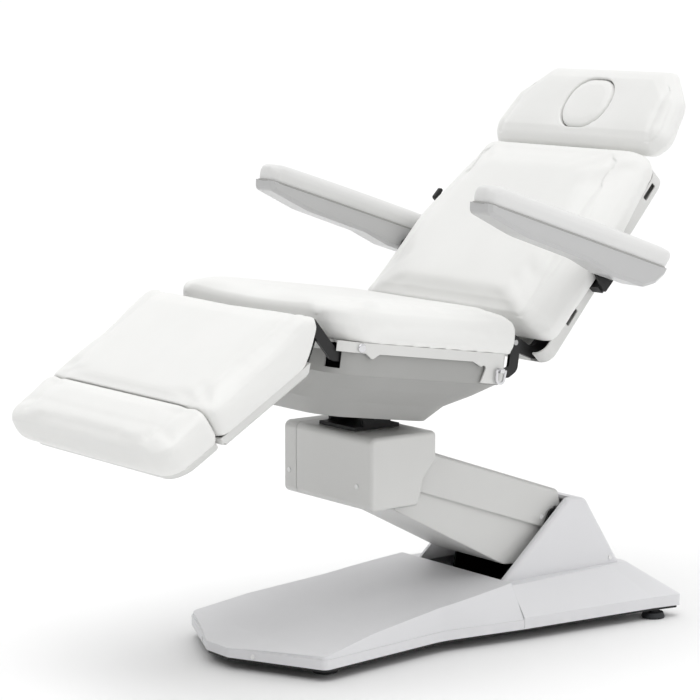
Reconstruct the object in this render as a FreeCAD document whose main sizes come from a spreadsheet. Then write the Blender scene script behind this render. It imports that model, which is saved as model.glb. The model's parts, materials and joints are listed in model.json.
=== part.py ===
import FreeCAD, Part
import math
import os
import re
import Sketcher

# Electric facial bed, millimetres, +Z up, +X towards the head, origin under the middle on the floor.

doc = FreeCAD.newDocument("facial_bed")
sheet = doc.addObject("Spreadsheet::Sheet", "dims")

sizes = {
    # how far the drawing of the pieces stands from the middle of the bed
    "middle_shift": 19,
    # lift linkage: tower pivot, bar length, bar spacing and the angle the arm stands at
    "tower_pivot_x": 425, "tower_pivot_z": 254, "link_length": 479, "link_gap": 60, "lift_angle": 19.1,
    "pin_radius": 9, "run_gap": 0.05, "tube_radius": 15, "tube_wall": 3,
    # base plan and heights
    "prow_x": -439, "corner_x": -335, "corner_y": 258, "waist_x": 20, "waist_y": 215,
    "seam_x": 232, "seam_y": 245, "leg_x": 682, "leg_y": 292,
    "cover_foot": 27, "cover_edge": 49, "cover_wall": 5, "plate_thick": 6, "band_step": 2.5,
    "ramp_prow": 46, "ramp_front": 56, "ramp_knee": 81, "ramp_knee_x": -190, "ramp_rear": 126,
    "ramp_rear_y": 196,
    # rear tower
    "tower_half": 160, "tower_wall": 14, "tower_top": 289, "tower_front_x": 437, "tower_back_x": 493,
    "tower_rear_x": 640, "tower_rear_z": 70, "skirt_top": 118,
    # levelling feet
    "foot_radius": 28, "foot_high": 13, "front_foot_x": -281, "front_foot_y": 181,
    "rear_foot_x": 619, "rear_foot_y": 258,
    # lift arm covers
    "arm_half": 128, "arm_wall": 3, "arm_roof": 52, "arm_skirt": -42, "arm_floor": -40, "arm_deep": -92,
    "tray_half": 121, "tray_rise": 24,
    # column housing
    "col_front": -142, "col_rear": 42, "col_foot": 327, "col_top": 491, "col_half": 163, "col_wall": 4,
    "cap_seam": 113, "cheek_inner": 134, "cheek_outer": 140, "column_pivot_x": -27.63,
    "column_pivot_z": 410.74,
    # seat, measured from the tilt axis
    "tilt_x": -50, "tilt_z": 530, "seat_angle": 8.4, "shaft_radius": 10,
    "seat_half": 315, "seat_base": 165, "seat_rear": 181, "seat_nose": -348, "nose_round": 90,
    "tray_front": -330, "tray_rear": 176, "seat_tray_half": 310, "tray_high": 22, "tray_wall": 4,
    "tray_skin": 6, "hull_foot": -8, "hull_half": 302, "keel_half": 150, "tail_x": 182, "tail_z": 96,
    "ring_x": 128, "ring_z": 128, "ring_wire": 2.5, "ring_half": 15, "ring_drop": 30, "ear_low": 98,
    "rail_inner": 240, "rail_outer": 276, "rail_high": 40,
    "hinge_inner": 262, "hinge_middle": 275.4, "hinge_outer": 284, "hinge_radius": 6,
    # leg section, measured from its hinge
    "leg_hinge_x": -376, "leg_hinge_z": 196, "leg_angle": -31,
    "leg_base": -62, "leg_tray_foot": -84, "leg_split": -314, "leg_gap": 5,
    "foot_long": 140, "foot_end": "=leg_split - leg_gap - foot_long", "rod_radius": 5, "rod_y": 140,
    # back section, measured from its hinge
    "back_hinge_x": 190, "back_hinge_z": 190, "back_angle": -46,
    "back_start": 36, "back_end": 560, "back_low_half": 340, "back_mid": 300, "back_mid_half": 336,
    "back_top_half": 290,
    "back_base": -50, "shell_foot": -86, "shell_start": 10, "shell_low_half": 321, "shell_top_half": 285,
    "head_rod_radius": 7, "head_rod_y": 90, "head_rod_z": -65,
    # headrest, measured from its hinge
    "head_reach": 60, "head_hinge_x": "=back_end + head_reach", "head_hinge_z": -76, "head_angle": -6.5,
    "head_start": -45, "head_end": 186, "head_base": 30, "head_thick": 58, "head_low_half": 302,
    "head_top_half": 206, "board_thick": 10, "plug_half_x": 70, "plug_half_y": 76, "plug_x": 70,
    "plug_gap": 1.5,
    # arm rests, measured from their pivot
    "rest_pivot_x": 242, "rest_pivot_z": -33, "rest_angle": 18.4, "rest_middle": 391, "rest_half": 39,
    "rest_front": -430, "rest_rear": 134, "rest_seam": 42, "rest_thick": 46, "rest_pin": 8,
    "hub_radius": 14,
    "mount_inner": 341, "mount_thick": 7,
}
for row, (name, size) in enumerate(sizes.items(), start=1):
    sheet.set("A%d" % row, name)
    sheet.set("B%d" % row, str(size))
    sheet.setAlias("B%d" % row, name)
doc.recompute()


# Expressions and frames

def bound(text):
    return re.sub(r"[a-z_]+", lambda word: "dims." + word.group(0)
                  if word.group(0) in sizes else word.group(0),
                  str(text))


def value(text):
    return float(sheet.evalExpression(bound(text)))


def turned(x, z, angle=0.0, y=0.0):
    return FreeCAD.Placement(FreeCAD.Vector(x, y, z), FreeCAD.Rotation(FreeCAD.Vector(0, 1, 0), angle))


world = turned(value("middle_shift"), 0)
upper_frame = world * turned(value("tower_pivot_x"), value("tower_pivot_z"), value("lift_angle"))
lower_frame = world * turned(value("tower_pivot_x"), value("tower_pivot_z - link_gap"),
                             value("lift_angle"))
link_end_x = value("tower_pivot_x - link_length * cos(lift_angle * 1deg)")
link_end_z = value("tower_pivot_z + link_length * sin(lift_angle * 1deg)")
column_frame_at = world * turned(link_end_x - value("column_pivot_x"),
                                 link_end_z - value("column_pivot_z"))
seat_frame_at = column_frame_at * turned(value("tilt_x"), value("tilt_z"), value("seat_angle"))
leg_frame_at = seat_frame_at * turned(value("leg_hinge_x"), value("leg_hinge_z"),
                                      value("leg_angle - seat_angle"))
back_frame_at = seat_frame_at * turned(value("back_hinge_x"), value("back_hinge_z"),
                                       value("back_angle - seat_angle"))
head_frame_at = back_frame_at * turned(value("head_hinge_x"), value("head_hinge_z"), value("head_angle"))
rest_turn = value("rest_angle - back_angle")


def rest_frame(side):
    return back_frame_at * turned(value("rest_pivot_x"), value("rest_pivot_z"), rest_turn,
                                  side * value("rest_middle"))


# Sketches and features

def new_body(label):
    made = doc.addObject("PartDesign::Body", "body_" + label)
    made.Label = label
    return made


def origin_plane(host, role):
    return [item for item in host.Origin.OriginFeatures if item.Role == role][0]


def sketch_on(host, role, lift_by="0", tilt=0.0):
    sketch = host.newObject("Sketcher::SketchObject", host.Name + "_sketch")
    sketch.AttachmentSupport = [(origin_plane(host, role), "")]
    sketch.MapMode = "FlatFace"
    sketch.AttachmentOffset = FreeCAD.Placement(FreeCAD.Vector(),
                                                FreeCAD.Rotation(FreeCAD.Vector(0, 1, 0), tilt))
    sketch.setExpression(".AttachmentOffset.Base.z", bound(lift_by))
    return sketch


def fix_point(sketch, geometry, position, x_text, y_text):
    for kind, text in (("DistanceX", x_text), ("DistanceY", y_text)):
        index = sketch.addConstraint(Sketcher.Constraint(kind, -1, 1, geometry, position, value(text)))
        sketch.setExpression("Constraints[%d]" % index, bound(text))


# A closed outline: each corner is (x, y) or (x, y, radius), every figure tied to the sheet.
def outline(host, role, corners, lift_by="0", tilt=0.0):
    sketch = sketch_on(host, role, lift_by, tilt)
    count = len(corners)
    points = [FreeCAD.Vector(value(corner[0]), value(corner[1]), 0) for corner in corners]
    radii = [value(corner[2]) if len(corner) > 2 else 0.0 for corner in corners]
    arrive, leave, bulge = [], [], []
    for index, point in enumerate(points):
        before = (points[index - 1] - point).normalize()
        after = (points[(index + 1) % count] - point).normalize()
        half = before.getAngle(after) / 2
        reach = radii[index] / math.tan(half)
        arrive.append(point + before * reach)
        leave.append(point + after * reach)
        middle = (before + after)
        if radii[index] > 0:
            bulge.append(point + middle.normalize() * (radii[index] / math.sin(half) - radii[index]))
        else:
            bulge.append(point)
    for index in range(count):
        sketch.addGeometry(Part.LineSegment(leave[index], arrive[(index + 1) % count]), False)
    for index in range(count):
        previous = (index - 1) % count
        if radii[index] == 0:
            sketch.addConstraint(Sketcher.Constraint("Coincident", previous, 2, index, 1))
            fix_point(sketch, index, 1, corners[index][0], corners[index][1])
            continue
        arc = sketch.addGeometry(Part.Arc(arrive[index], bulge[index], leave[index]), False)
        first = 1 if sketch.getPoint(arc, 1).distanceToPoint(arrive[index]) < 0.001 else 2
        sketch.addConstraint(Sketcher.Constraint("Tangent", previous, 2, arc, first))
        sketch.addConstraint(Sketcher.Constraint("Tangent", arc, 3 - first, index, 1))
        round_at = sketch.addConstraint(Sketcher.Constraint("Radius", arc, radii[index]))
        sketch.setExpression("Constraints[%d]" % round_at, bound(corners[index][2]))
        mark = sketch.addGeometry(Part.Point(points[index]), True)
        sketch.addConstraint(Sketcher.Constraint("PointOnObject", mark, 1, previous))
        sketch.addConstraint(Sketcher.Constraint("PointOnObject", mark, 1, index))
        fix_point(sketch, mark, 1, corners[index][0], corners[index][1])
    return sketch


def circle(host, role, x_text, y_text, radius, lift_by="0"):
    sketch = sketch_on(host, role, lift_by)
    middle = FreeCAD.Vector(value(x_text), value(y_text), 0)
    ring = sketch.addGeometry(Part.Circle(middle, FreeCAD.Vector(0, 0, 1), value(radius)), False)
    fix_point(sketch, ring, 3, x_text, y_text)
    index = sketch.addConstraint(Sketcher.Constraint("Radius", ring, value(radius)))
    sketch.setExpression("Constraints[%d]" % index, bound(radius))
    return sketch


def box_plan(x_low, x_high, half, radius_low, radius_high=None):
    radius_high = radius_low if radius_high is None else radius_high
    return [(x_low, "-(%s)" % half, radius_low), (x_high, "-(%s)" % half, radius_high),
            (x_high, half, radius_high), (x_low, half, radius_low)]


def grow(host, kind, sketch, length, side="Symmetric"):
    feature = host.newObject("PartDesign::" + kind, host.Name + "_" + kind.lower())
    feature.Profile = sketch
    feature.SideType = side
    feature.setExpression("Length", bound(length))
    host.Tip = feature
    return feature


def pad(host, sketch, length, side="Symmetric"):
    return grow(host, "Pad", sketch, length, side)


def pocket(host, sketch, length):
    doc.recompute()
    full = host.Shape.Volume
    feature = grow(host, "Pocket", sketch, length)
    doc.recompute()
    if host.Shape.Volume > full - 1:
        raise ValueError("a pocket of %s removes nothing" % host.Label)
    return feature


def loft(host, sketches, ruled=False, cut=False):
    doc.recompute()
    kind = "SubtractiveLoft" if cut else "AdditiveLoft"
    feature = host.newObject("PartDesign::" + kind, host.Name + "_" + kind.lower())
    feature.Profile = sketches[0]
    feature.Sections = sketches[1:]
    feature.Ruled = ruled
    host.Tip = feature
    return feature


def trim_edges(host, size, chosen, kind="Fillet"):
    doc.recompute()
    names = ["Edge%d" % (index + 1) for index, edge in enumerate(host.Shape.Edges) if chosen(edge)]
    base = host.Tip
    feature = host.newObject("PartDesign::" + kind, host.Name + "_" + kind.lower())
    feature.Base = (base, names)
    feature.setExpression("Radius" if kind == "Fillet" else "Size", bound(size))
    host.Tip = feature


def round_edges(host, radius, chosen):
    trim_edges(host, radius, chosen)


def bevel_edges(host, size, chosen):
    trim_edges(host, size, chosen, "Chamfer")


def block(x_low, x_high, y_low, y_high, z_low, z_high):
    made = doc.addObject("Part::Box", "bar")
    for side, low, high, axis in (("Length", x_low, x_high, "x"), ("Width", y_low, y_high, "y"),
                                  ("Height", z_low, z_high, "z")):
        made.setExpression(side, bound("(%s) - (%s)" % (high, low)))
        made.setExpression(".Placement.Base." + axis, bound(low))
    return made


# A round bar lying across the bed, along y.
def cross_bar(x_text, z_text, radius, y_low, y_high):
    made = doc.addObject("Part::Cylinder", "round")
    made.Placement = FreeCAD.Placement(FreeCAD.Vector(), FreeCAD.Rotation(FreeCAD.Vector(1, 0, 0), -90))
    made.setExpression("Radius", bound(radius))
    made.setExpression("Height", bound("(%s) - (%s)" % (y_high, y_low)))
    for axis, text in (("x", x_text), ("y", y_low), ("z", z_text)):
        made.setExpression(".Placement.Base." + axis, bound(text))
    return made


# A round bar lying along the bed, along x.
def long_bar(x_low, x_high, y_text, z_text, radius):
    made = doc.addObject("Part::Cylinder", "round")
    made.Placement = FreeCAD.Placement(FreeCAD.Vector(), FreeCAD.Rotation(FreeCAD.Vector(0, 1, 0), 90))
    made.setExpression("Radius", bound(radius))
    made.setExpression("Height", bound("(%s) - (%s)" % (x_high, x_low)))
    for axis, text in (("x", x_low), ("y", y_text), ("z", z_text)):
        made.setExpression(".Placement.Base." + axis, bound(text))
    return made


def fused(pieces):
    made = doc.addObject("Part::MultiFuse", "joined")
    made.Shapes = pieces
    return made


def less(base, tool):
    made = doc.addObject("Part::Cut", "less")
    made.Base = base
    made.Tool = tool
    return made


def group(label, pieces):
    made = doc.addObject("Part::Compound", "group_" + label)
    made.Label = label
    made.Links = pieces
    return made


# A flat plate standing along the bed between two y planes, cut from a side outline, with round holes.
def cheek(label, corners, y_low, y_high, holes=()):
    host = new_body(label)
    middle = "-((%s) + (%s)) / 2" % (y_low, y_high)
    pad(host, outline(host, "XZ_Plane", corners, middle), "(%s) - (%s)" % (y_high, y_low))
    for x_text, z_text, radius in holes:
        pocket(host, circle(host, "XZ_Plane", x_text, z_text, radius, middle),
               "(%s) - (%s) + 4" % (y_high, y_low))
    return host


def both_cheeks(label, corners, y_low, y_high, holes=()):
    return [cheek(label + "_right", corners, "-(%s)" % y_high, "-(%s)" % y_low, holes),
            cheek(label + "_left", corners, y_low, y_high, holes)]


# A rectangular steel tube, open at both ends along x or along y.
def box_tube(x_low, x_high, y_low, y_high, z_low, z_high):
    runs_along_x = value(x_high) - value(x_low) > value(y_high) - value(y_low)
    past = " + %s" % ("1" if runs_along_x else "-tube_wall")
    beside = " + %s" % ("-tube_wall" if runs_along_x else "1")
    bore = block("%s - (0%s)" % (x_low, past), x_high + past, "%s - (0%s)" % (y_low, beside),
                 y_high + beside,
                 z_low + " + tube_wall", z_high + " - tube_wall")
    return less(block(x_low, x_high, y_low, y_high, z_low, z_high), bore)


nodes = []


def finish(item, label, frame):
    item.Label = label
    nodes.append((item, label, frame))


# Base: floor plate, rails, feet and the ramped front cover

def mirrored(half):
    return list(half) + [(corner[0], "-(%s)" % corner[1]) + tuple(corner[2:])
                         for corner in reversed(half)]


plate = new_body("base_plate")
plate_half = [("prow_x + 4", "-38", "24"), ("corner_x + 2", "-corner_y + 4", "18"),
              ("waist_x", "-waist_y + 4", "300"),
              ("600", "-(seam_y + 28)"), ("leg_x - 5", "-leg_y + 5", "10"),
              ("leg_x - 12", "-(leg_y - 58)", "10"),
              ("tower_rear_x - 24", "-146", "30")]
pad(plate, outline(plate, "XY_Plane", mirrored(plate_half), "cover_foot - plate_thick / 2"),
    "plate_thick")
finish(plate, "base_plate", world)

rails = [box_tube("-300", "600", side_low, side_high, "cover_foot", "cover_foot + 20")
         for side_low, side_high in (("-128", "-92"), ("92", "128"))]
ties = [box_tube("-300", "-262", "-92", "92", "cover_foot", "cover_foot + 20"),
        box_tube("560", "600", "-92", "92", "cover_foot", "cover_foot + 20")]
finish(group("base_rails", rails + ties), "base_rails", world)


def levelling_foot(x_text, y_text):
    host = new_body("foot")
    sketch = outline(host, "XZ_Plane", [("0", "0"), ("foot_radius - 2", "0"), ("foot_radius", "3"),
                                        ("foot_radius - 4", "foot_high"), ("9", "foot_high"),
                                        ("9", "cover_foot - plate_thick"),
                                        ("0", "cover_foot - plate_thick")])
    turn = host.newObject("PartDesign::Revolution", host.Name + "_turn")
    turn.Profile = sketch
    turn.ReferenceAxis = (sketch, ["V_Axis"])
    turn.Angle = 360
    host.Tip = turn
    host.setExpression(".Placement.Base.x", bound(x_text))
    host.setExpression(".Placement.Base.y", bound(y_text))
    return host


feet = [levelling_foot(x_text, y_text) for x_text, y_text in (
    ("front_foot_x", "-front_foot_y"), ("front_foot_x", "front_foot_y"),
    ("rear_foot_x", "-rear_foot_y"), ("rear_foot_x", "rear_foot_y"))]
finish(group("levelling_feet", feet), "levelling_feet", world)


# The front cover: an upright edge band, then side walls that lean in, planed off by the rising top.
def ramp_half(inset, lean, lean_rear):
    return [("prow_x + %s * 1.3" % inset, "-40 + %s * 0.3" % inset, "24"),
            ("corner_x + %s" % inset, "-corner_y + %s + %s" % (inset, lean), "18"),
            ("waist_x", "-waist_y + %s + %s * 0.4" % (inset, lean), "250"),
            ("seam_x", "-seam_y + %s + %s" % (inset, lean_rear))]


def ramp_solid(label, inset, drop):
    host = new_body(label)
    pad(host, outline(host, "XY_Plane", mirrored(ramp_half(inset, "0", "0")), "cover_foot - %s" % drop),
        "cover_edge - cover_foot", "One side")
    low = outline(host, "XY_Plane", mirrored(ramp_half(inset + " + band_step", "0", "0")),
                  "cover_edge - %s" % drop)
    high = outline(host, "XY_Plane", mirrored(ramp_half(inset + " + band_step", "10",
                                                        "seam_y - ramp_rear_y")),
                   "ramp_rear + 10 - %s" % drop)
    loft(host, [low, high], True)
    pocket(host, outline(host, "XZ_Plane", [
        ("prow_x - 20", "ramp_prow - %s" % drop), ("corner_x", "ramp_front - %s" % drop),
        ("ramp_knee_x", "ramp_knee - %s" % drop), ("seam_x + 20", "ramp_rear + 2 - %s" % drop),
        ("seam_x + 20", "ramp_rear + 60"), ("prow_x - 20", "ramp_rear + 60")]), "corner_y * 3")
    return host


finish(less(ramp_solid("ramp_outer", "0", "0"), ramp_solid("ramp_inner", "cover_wall", "cover_wall")),
       "base_cover", world)


# Rear cover: skirt with two splayed legs, and the tower that takes the lift arm

def skirt_half(inset):
    return [("seam_x + 1", "-seam_y + %s" % inset), ("600 - %s" % inset, "-(seam_y + 32) + %s" % inset),
            ("leg_x - %s" % inset, "-leg_y + %s" % inset, "10"),
            ("leg_x - 10 - %s" % inset, "-(leg_y - 62) - %s * 0.4" % inset, "10"),
            ("tower_rear_x - 20 - %s" % inset, "-150", "20")]


def skirt_top_half(inset):
    return [("seam_x + 1", "-ramp_rear_y + %s" % inset),
            ("560 - %s" % inset, "-(ramp_rear_y - 22) + %s" % inset),
            ("612 - %s" % inset, "-(ramp_rear_y - 18) + %s" % inset, "10"),
            ("618 - %s" % inset, "-(ramp_rear_y - 48) - %s * 0.4" % inset, "10"),
            ("612 - %s" % inset, "-110", "20")]


rear = new_body("rear_cover")
loft(rear, [outline(rear, "XY_Plane", mirrored(skirt_half("0")), "cover_foot"),
            outline(rear, "XY_Plane", mirrored(skirt_half("0")), "cover_edge + 4"),
            outline(rear, "XY_Plane", mirrored(skirt_top_half("0")), "skirt_top")], True)
pad(rear, outline(rear, "XZ_Plane", [
    ("seam_x + 1", "skirt_top - 8"), ("tower_front_x", "tower_top", "14"),
    ("tower_back_x", "tower_top - 5", "22"),
    ("tower_rear_x - 28", "tower_rear_z + 30")]), "tower_half * 2")
round_edges(rear, "9", lambda edge: abs(abs(edge.CenterOfMass.y) - value("tower_half")) < 0.01
            and edge.CenterOfMass.z > value("skirt_top") + 20)
loft(rear, [outline(rear, "XY_Plane", mirrored(skirt_half("cover_wall")), "cover_foot - 1"),
            outline(rear, "XY_Plane", mirrored(skirt_half("cover_wall")), "cover_edge"),
            outline(rear, "XY_Plane", mirrored(skirt_top_half("cover_wall")),
                    "skirt_top - cover_wall")], True, True)
pocket(rear, outline(rear, "XZ_Plane", [
    ("seam_x - 30", "0"), ("seam_x - 30", "skirt_top + 10"), ("tower_front_x + 10", "tower_top + 40"),
    ("tower_front_x + 22", "tower_top + 40"), ("tower_front_x + 22", "tower_top - 14", "8"),
    ("tower_back_x - 4", "tower_top - 16", "14"), ("tower_rear_x - 40", "tower_rear_z + 30"),
    ("tower_rear_x - 40", "0")]), "(tower_half - tower_wall) * 2")
finish(rear, "rear_cover", world)

tower_screws = [cross_bar("tower_rear_x - 70", "skirt_top + 14", "5", low, high)
                for low, high in (("-tower_half - 2", "-tower_half"), ("tower_half", "tower_half + 2"))]
finish(group("tower_screws", tower_screws), "tower_screws", world)

bracket = new_body("tower_bracket")
pad(bracket, outline(bracket, "XZ_Plane", [
    ("tower_pivot_x - 95", "cover_foot"), ("tower_pivot_x - 70", "tower_pivot_z - 80", "20"),
    ("tower_pivot_x - 24", "tower_pivot_z + 12", "18"),
    ("tower_pivot_x + 30", "tower_pivot_z + 12", "18"),
    ("tower_pivot_x + 80", "tower_pivot_z - 70", "20"), ("tower_pivot_x + 80", "cover_foot")]),
    "cheek_outer * 2")
pocket(bracket, outline(bracket, "XZ_Plane", [
    ("tower_pivot_x - 120", "0"), ("tower_pivot_x - 120", "tower_pivot_z + 60"),
    ("tower_pivot_x + 72", "tower_pivot_z + 60"), ("tower_pivot_x + 72", "0")]), "cheek_inner * 2")
pocket(bracket, outline(bracket, "XZ_Plane", [
    ("tower_pivot_x + 60", "0"), ("tower_pivot_x + 60", "cover_foot + 20"),
    ("tower_pivot_x + 95", "cover_foot + 20"),
    ("tower_pivot_x + 95", "0")]), "cheek_inner * 2")
for pivot_z in ("tower_pivot_z", "tower_pivot_z - link_gap"):
    pocket(bracket, circle(bracket, "XZ_Plane", "tower_pivot_x", pivot_z, "pin_radius"),
           "cheek_outer * 2 + 4")
finish(bracket, "tower_bracket", world)
finish(group("tower_pins", [cross_bar("tower_pivot_x", pivot_z, "pin_radius", "-cheek_outer",
                                      "cheek_outer")
                            for pivot_z in ("tower_pivot_z", "tower_pivot_z - link_gap")]),
                            "tower_pins", world)


# Lift arm: two parallel links, each with its own cover; the lower cover slides inside the upper one

def link(label, corners, y_low, y_high):
    bars = both_cheeks(label + "_bar", corners, y_low, y_high)
    ends = [cross_bar(at, "0", "tube_radius", "-115", "115") for at in ("0", "-link_length")]
    bores = [cross_bar(at, "0", "pin_radius + run_gap", "-120", "120") for at in ("0", "-link_length")]
    return less(fused(bars + ends), fused(bores))


finish(link("upper_link", [("-link_length - 12", "-12", "10"), ("-link_length - 12", "12", "10"),
                           ("-link_length + 70", "arm_roof - arm_wall"), ("-60", "arm_roof - arm_wall"),
                           ("12", "12", "10"), ("12", "-12", "10")], "100", "108"), "upper_link",
                           upper_frame)

floor_slope = "(arm_deep - arm_floor) / (link_length - 130)"
floor_at = "arm_floor + arm_wall + (%s) * (link_length + (%s))"
finish(link("lower_link", [("-link_length - 12", "12", "10"), ("-link_length - 12", "-12", "10"),
                           ("-link_length + 40", floor_at % (floor_slope, "-link_length + 40")),
                           ("-150", floor_at % (floor_slope, "-150")), ("12", "-12", "10"),
                           ("12", "12", "10")],
            "88", "96"), "lower_link", lower_frame)

hood = new_body("upper_arm_cover")
pad(hood, outline(hood, "XZ_Plane", [
    ("-link_length + 58", "arm_skirt"), ("-link_length + 58", "arm_roof", "6"), ("-6", "arm_roof", "16"),
    ("20", "12", "14"), ("20", "arm_skirt")]), "arm_half * 2")
round_edges(hood, "10", lambda edge: abs(abs(edge.CenterOfMass.y) - value("arm_half")) < 0.01
            and edge.CenterOfMass.z > value("arm_roof") - 0.01)
pocket(hood, outline(hood, "XZ_Plane", [
    ("-link_length + 40", "arm_skirt - 20"), ("-link_length + 40", "arm_roof - arm_wall"),
    ("-9", "arm_roof - arm_wall", "14"), ("16.5", "11", "12"), ("16.5", "-12"), ("40", "-16"),
    ("40", "arm_skirt - 20")]), "(arm_half - arm_wall) * 2")
pocket(hood, circle(hood, "XZ_Plane", "0", "0", "pin_radius + 4"), "arm_half * 2 + 4")
finish(hood, "upper_arm_cover", upper_frame)

arm_screws = [cross_bar("-40", "-20", "5", low, high)
              for low, high in (("-arm_half - 1.5", "-arm_half"), ("arm_half", "arm_half + 1.5"))]
finish(group("arm_screws", arm_screws), "arm_screws", upper_frame)

pan = new_body("lower_arm_cover")
pad(pan, outline(pan, "XZ_Plane", [
    ("-link_length - 18", "tray_rise", "10"), ("-link_length - 18", "arm_floor + 12", "18"),
    ("-link_length", "arm_floor"), ("-130", "arm_deep", "30"), ("-60", "arm_deep + 16", "30"),
    ("21", "-23", "16"), ("21", "tray_rise", "10")]), "tray_half * 2")
pocket(pan, outline(pan, "XZ_Plane", [
    ("-link_length - 40", "tray_rise + 20"), ("-link_length - 40",
                                              floor_at % (floor_slope, "-link_length - 40")),
    ("-130", "arm_deep + arm_wall", "28"), ("-60", "arm_deep + arm_wall + 16", "28"),
    ("17.5", "-19", "14"), ("17.5", "tray_rise + 20")]), "(tray_half - arm_wall) * 2")
for at in ("0", "-link_length"):
    pocket(pan, circle(pan, "XZ_Plane", at, "0", "pin_radius + 4"), "tray_half * 2 + 4")
finish(pan, "lower_arm_cover", lower_frame)


# Column: housing with a side lid, steel yoke inside, black tilt bracket on top

column_outline = [("col_front", "col_foot", "14"), ("col_front", "col_top", "16"),
                  ("col_rear", "col_top", "12"),
                  ("col_rear", "col_top - 67", "10"), ("col_rear - 34", "col_foot + 60", "24"),
                  ("col_rear - 50", "col_foot", "12")]
column_hollow = [("col_front + 46", "col_foot - 30"), ("col_front + 46", "col_foot + col_wall"),
                 ("col_front + col_wall", "col_foot + col_wall", "10"),
                 ("col_front + col_wall", "col_top - col_wall", "12"),
                 ("col_rear + 60", "col_top - col_wall"),
                 ("col_rear + 60", "col_foot - 30")]


def column_shell(label, y_low, y_high, hollow_low, hollow_high, outer):
    host = cheek(label, column_outline, y_low, y_high)
    round_edges(host, "9", lambda edge: abs(edge.CenterOfMass.y - value(outer)) < 0.01)
    middle = "-((%s) + (%s)) / 2" % (hollow_low, hollow_high)
    pocket(host, outline(host, "XZ_Plane", column_hollow, middle),
           "(%s) - (%s)" % (hollow_high, hollow_low))
    finish(host, label, column_frame_at)


column_shell("column_housing", "-col_half", "cap_seam - 0.5", "-col_half + col_wall", "cap_seam + 20",
             "-col_half")
column_shell("column_lid", "cap_seam + 0.5", "col_half", "cap_seam - 20", "col_half - col_wall",
             "col_half")

yoke = new_body("column_yoke")
pad(yoke, outline(yoke, "XZ_Plane", [
    ("-90", "col_top - col_wall"), ("-90", "col_foot + 50", "20"), ("-60", "col_foot + 2", "20"),
    ("2", "col_foot + 2", "20"), ("12", "col_foot + 90", "20"), ("30", "col_top - col_wall")]),
    "cheek_outer * 2")
pocket(yoke, outline(yoke, "XZ_Plane", [
    ("-120", "col_foot - 40"), ("-120", "col_top - col_wall - 8"), ("60", "col_top - col_wall - 8"),
    ("60", "col_foot - 40")]), "cheek_inner * 2")
for drop in ("0", "link_gap"):
    pocket(yoke, circle(yoke, "XZ_Plane", "column_pivot_x", "column_pivot_z - " + drop, "pin_radius"),
           "cheek_outer * 2 + 4")
finish(yoke, "column_yoke", column_frame_at)
finish(group("column_pins", [cross_bar("column_pivot_x", "column_pivot_z - " + drop, "pin_radius",
                                       "-cheek_outer",
                                       "cheek_outer") for drop in ("0", "link_gap")]), "column_pins",
                                       column_frame_at)

column_screws = [long_bar("col_front - 2", "col_front", y_text, "col_foot + 52", "5")
                 for y_text in ("-112", "140")]
finish(group("column_screws", column_screws), "column_screws", column_frame_at)

tilt = new_body("tilt_bracket")
pad(tilt, outline(tilt, "XZ_Plane", [
    ("tilt_x - 62", "col_top"), ("tilt_x - 62", "col_top + 8"), ("tilt_x - 34", "col_top + 8", "4"),
    ("tilt_x - 48", "tilt_z + 2", "8"), ("tilt_x - 24", "tilt_z + 20", "16"),
    ("tilt_x + 24", "tilt_z + 20", "16"),
    ("tilt_x + 48", "tilt_z + 2", "8"), ("tilt_x + 34", "col_top + 8", "4"),
    ("tilt_x + 62", "col_top + 8"),
    ("tilt_x + 62", "col_top")]), "132")
pocket(tilt, outline(tilt, "XZ_Plane", [
    ("tilt_x - 80", "col_top + 8"), ("tilt_x + 80", "col_top + 8"), ("tilt_x + 80", "tilt_z + 60"),
    ("tilt_x - 80", "tilt_z + 60")]), "116")
pocket(tilt, circle(tilt, "XZ_Plane", "tilt_x", "tilt_z", "shaft_radius"), "140")
finish(tilt, "tilt_bracket", column_frame_at)
shaft = cross_bar("tilt_x", "tilt_z", "shaft_radius", "-84", "84")
finish(group("tilt_shaft", [shaft]), "tilt_shaft", column_frame_at)


# Seat: steel frame, moulded tray, hull beneath and the upholstered cushion

frame_top = "seat_base - tray_skin"
frame_foot = "seat_base - tray_skin - rail_high"
seat_rails = [box_tube("-274", "152", low, high, frame_foot, frame_top)
              for low, high in (("-rail_outer", "-rail_inner"), ("rail_inner", "rail_outer"))]
seat_ties = [box_tube(low, high, "-rail_inner", "rail_inner", frame_foot, frame_top)
             for low, high in (("-274", "-245"), ("123", "152"))]
tilt_lugs = both_cheeks("tilt_lug", [
    ("-245", frame_foot), ("-245", frame_top), ("123", frame_top), ("123", frame_foot),
    ("60", frame_foot, "30"),
    ("20", "-18", "16"), ("-20", "-18", "16"), ("-60", frame_foot, "30")], "72", "80",
    [("0", "0", "shaft_radius + run_gap")])
leg_plates = both_cheeks("leg_plate", [
    ("-200", frame_foot + " + 2"), ("-200", frame_foot + " + 26"), ("-300", frame_foot + " + 26", "10"),
    ("leg_hinge_x + 10", "leg_hinge_z + 9", "8"), ("leg_hinge_x - 9", "leg_hinge_z + 9", "8"),
    ("leg_hinge_x - 9", "leg_hinge_z - 7", "6"), ("-310", frame_foot + " + 2", "20")],
    "rail_outer", "hinge_outer", [("leg_hinge_x", "leg_hinge_z", "hinge_radius")])
back_plates = both_cheeks("back_plate", [
    ("60", frame_foot + " - 8", "6"), ("60", frame_foot + " + 14"),
    ("back_hinge_x - 13", frame_foot + " + 14", "6"),
    ("back_hinge_x - 13", "back_hinge_z + 13", "12"), ("back_hinge_x + 13", "back_hinge_z + 13", "12"),
    ("back_hinge_x + 13", frame_foot + " + 10", "20"), ("back_hinge_x - 10", frame_foot + " - 8", "20")],
    "rail_outer", "hinge_outer", [("back_hinge_x", "back_hinge_z", "hinge_radius")])
finish(group("seat_frame", seat_rails + seat_ties + tilt_lugs + leg_plates + back_plates), "seat_frame",
       seat_frame_at)


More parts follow.
